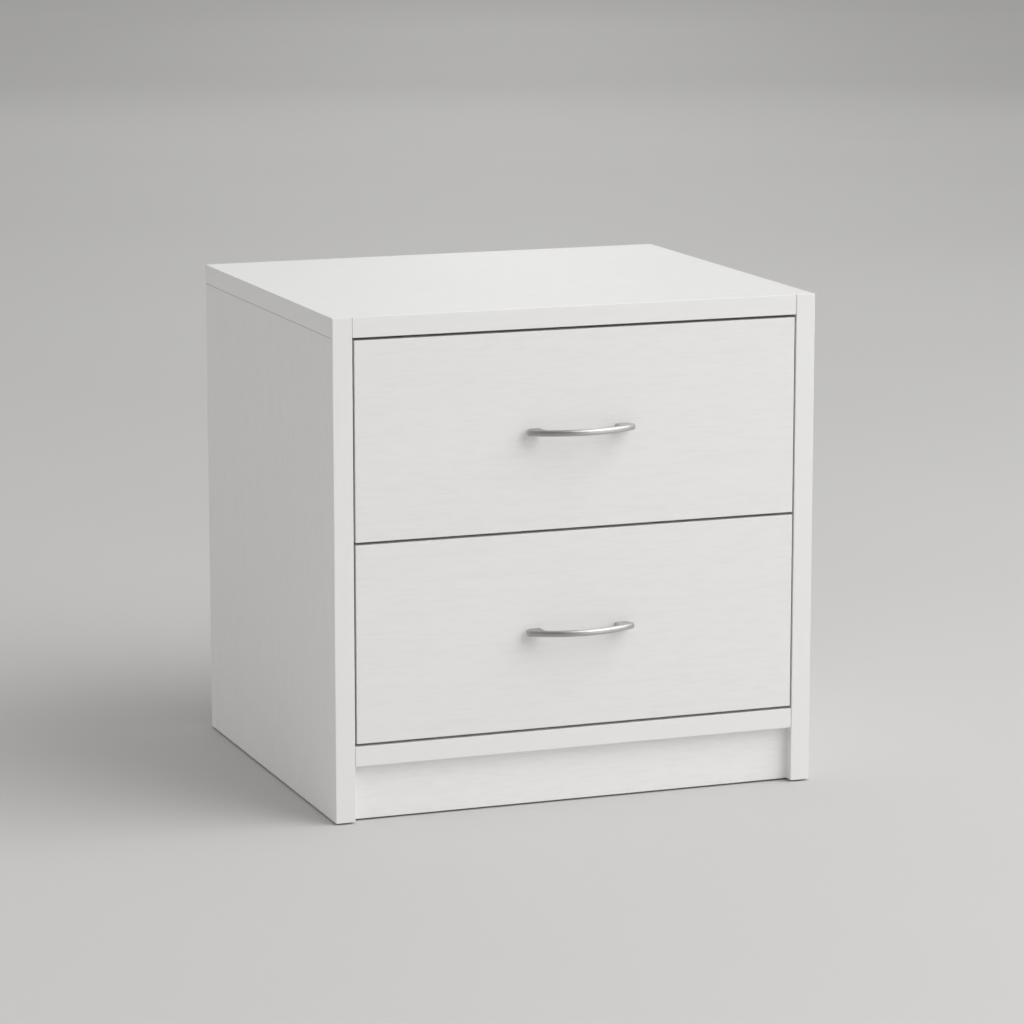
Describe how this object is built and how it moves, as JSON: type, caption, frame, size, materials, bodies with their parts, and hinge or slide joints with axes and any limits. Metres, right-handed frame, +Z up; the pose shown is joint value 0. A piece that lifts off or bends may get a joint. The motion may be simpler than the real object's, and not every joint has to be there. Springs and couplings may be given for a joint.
{
  "type": "nightstand with drawers",
  "caption": "White box-shaped nightstand with two inset drawers on roller slides, bow handles and a recessed plinth.",
  "frame": {"origin": "on the floor, at the centre of the bounding box's underside, handles included", "axes": "+Z up, +X to the right of someone facing the drawers, the drawer fronts face -Y"},
  "size_m": [0.455, 0.412, 0.45],
  "materials": {
    "white_melamine": "white melamine-faced chipboard, satin, fine embossed wood grain",
    "white_edging": "white edge banding, satin",
    "white_hardboard": "white lacquered hardboard, satin",
    "white_foil": "white foil-wrapped chipboard, satin",
    "brushed_nickel": "brushed nickel, satin",
    "zinc_plate": "bright zinc plating",
    "white_epoxy": "white epoxy powder coat on steel, semi-gloss",
    "nylon": "off-white moulded nylon, satin",
    "glide_plastic": "off-white moulded plastic, matte",
    "beech": "raw beech, fluted dowel, matte"
  },
  "bodies": {
    "carcass": {"top_panel": "white_melamine", "side_panel_left": "white_melamine", "side_panel_right": "white_melamine", "bottom_panel": "white_melamine", "plinth_board": "white_melamine", "back_panel": "white_hardboard", "left_edge_strip": "white_edging", "right_edge_strip": "white_edging", "top_edge_strip": "white_edging", "bottom_edge_strip": "white_edging", "glide_front_left": "glide_plastic", "cam_fitting_top_front_left": "zinc_plate", "cam_fitting_bottom_front_left": "zinc_plate", "glide_back_left": "glide_plastic", "cam_fitting_top_back_left": "zinc_plate", "cam_fitting_bottom_back_left": "zinc_plate", "dowel_top_left": "beech", "dowel_bottom_left": "beech", "dowel_plinth_left": "beech", "glide_front_right": "glide_plastic", "cam_fitting_top_front_right": "zinc_plate", "cam_fitting_bottom_front_right": "zinc_plate", "glide_back_right": "glide_plastic", "cam_fitting_top_back_right": "zinc_plate", "cam_fitting_bottom_back_right": "zinc_plate", "dowel_top_right": "beech", "dowel_bottom_right": "beech", "dowel_plinth_right": "beech", "upper_cabinet_slide_left": "white_epoxy", "upper_cabinet_slide_right": "white_epoxy", "lower_cabinet_slide_left": "white_epoxy", "lower_cabinet_slide_right": "white_epoxy"},
    "upper_drawer": {"upper_drawer_front": "white_melamine", "upper_drawer_side_left": "white_foil", "upper_drawer_side_right": "white_foil", "upper_drawer_back": "white_foil", "upper_drawer_bottom": "white_hardboard", "upper_handle": "brushed_nickel", "upper_handle_screw_left": "zinc_plate", "upper_handle_screw_right": "zinc_plate", "upper_drawer_slide_left": "white_epoxy", "upper_drawer_slide_right": "white_epoxy"},
    "upper_cabinet_roller_left": {"upper_cabinet_roller_left": "nylon"},
    "upper_cabinet_roller_right": {"upper_cabinet_roller_right": "nylon"},
    "upper_drawer_roller_left": {"upper_drawer_roller_left": "nylon"},
    "upper_drawer_roller_right": {"upper_drawer_roller_right": "nylon"},
    "lower_drawer": {"lower_drawer_front": "white_melamine", "lower_drawer_side_left": "white_foil", "lower_drawer_side_right": "white_foil", "lower_drawer_back": "white_foil", "lower_drawer_bottom": "white_hardboard", "lower_handle": "brushed_nickel", "lower_handle_screw_left": "zinc_plate", "lower_handle_screw_right": "zinc_plate", "lower_drawer_slide_left": "white_epoxy", "lower_drawer_slide_right": "white_epoxy"},
    "lower_cabinet_roller_left": {"lower_cabinet_roller_left": "nylon"},
    "lower_cabinet_roller_right": {"lower_cabinet_roller_right": "nylon"},
    "lower_drawer_roller_left": {"lower_drawer_roller_left": "nylon"},
    "lower_drawer_roller_right": {"lower_drawer_roller_right": "nylon"}
  },
  "joints": [
    {"name": "upper_drawer_travel", "type": "slide", "parent": "carcass", "child": "upper_drawer", "axis": [0, -1, 0], "range_m": [0, 0.26]},
    {"name": "upper_cabinet_roller_left_spin", "type": "hinge", "parent": "carcass", "child": "upper_cabinet_roller_left", "pos_m": [-0.2035, -0.147, 0.274], "axis": [1, 0, 0], "continuous": true},
    {"name": "upper_cabinet_roller_right_spin", "type": "hinge", "parent": "carcass", "child": "upper_cabinet_roller_right", "pos_m": [0.2035, -0.147, 0.274], "axis": [1, 0, 0], "continuous": true},
    {"name": "upper_drawer_roller_left_spin", "type": "hinge", "parent": "upper_drawer", "child": "upper_drawer_roller_left", "pos_m": [-0.203, 0.171, 0.274], "axis": [1, 0, 0], "continuous": true},
    {"name": "upper_drawer_roller_right_spin", "type": "hinge", "parent": "upper_drawer", "child": "upper_drawer_roller_right", "pos_m": [0.203, 0.171, 0.274], "axis": [1, 0, 0], "continuous": true},
    {"name": "lower_drawer_travel", "type": "slide", "parent": "carcass", "child": "lower_drawer", "axis": [0, -1, 0], "range_m": [0, 0.26]},
    {"name": "lower_cabinet_roller_left_spin", "type": "hinge", "parent": "carcass", "child": "lower_cabinet_roller_left", "pos_m": [-0.2035, -0.147, 0.094], "axis": [1, 0, 0], "continuous": true},
    {"name": "lower_cabinet_roller_right_spin", "type": "hinge", "parent": "carcass", "child": "lower_cabinet_roller_right", "pos_m": [0.2035, -0.147, 0.094], "axis": [1, 0, 0], "continuous": true},
    {"name": "lower_drawer_roller_left_spin", "type": "hinge", "parent": "lower_drawer", "child": "lower_drawer_roller_left", "pos_m": [-0.203, 0.171, 0.094], "axis": [1, 0, 0], "continuous": true},
    {"name": "lower_drawer_roller_right_spin", "type": "hinge", "parent": "lower_drawer", "child": "lower_drawer_roller_right", "pos_m": [0.203, 0.171, 0.094], "axis": [1, 0, 0], "continuous": true}
  ],
  "couplings": [
    {"joint": "upper_cabinet_roller_left_spin", "follows": "upper_drawer_travel", "rad_per_m": 93.023},
    {"joint": "upper_cabinet_roller_right_spin", "follows": "upper_drawer_travel", "rad_per_m": 93.023},
    {"joint": "upper_drawer_roller_left_spin", "follows": "upper_drawer_travel", "rad_per_m": 93.023},
    {"joint": "upper_drawer_roller_right_spin", "follows": "upper_drawer_travel", "rad_per_m": 93.023},
    {"joint": "lower_cabinet_roller_left_spin", "follows": "lower_drawer_travel", "rad_per_m": 93.023},
    {"joint": "lower_cabinet_roller_right_spin", "follows": "lower_drawer_travel", "rad_per_m": 93.023},
    {"joint": "lower_drawer_roller_left_spin", "follows": "lower_drawer_travel", "rad_per_m": 93.023},
    {"joint": "lower_drawer_roller_right_spin", "follows": "lower_drawer_travel", "rad_per_m": 93.023}
  ]
}
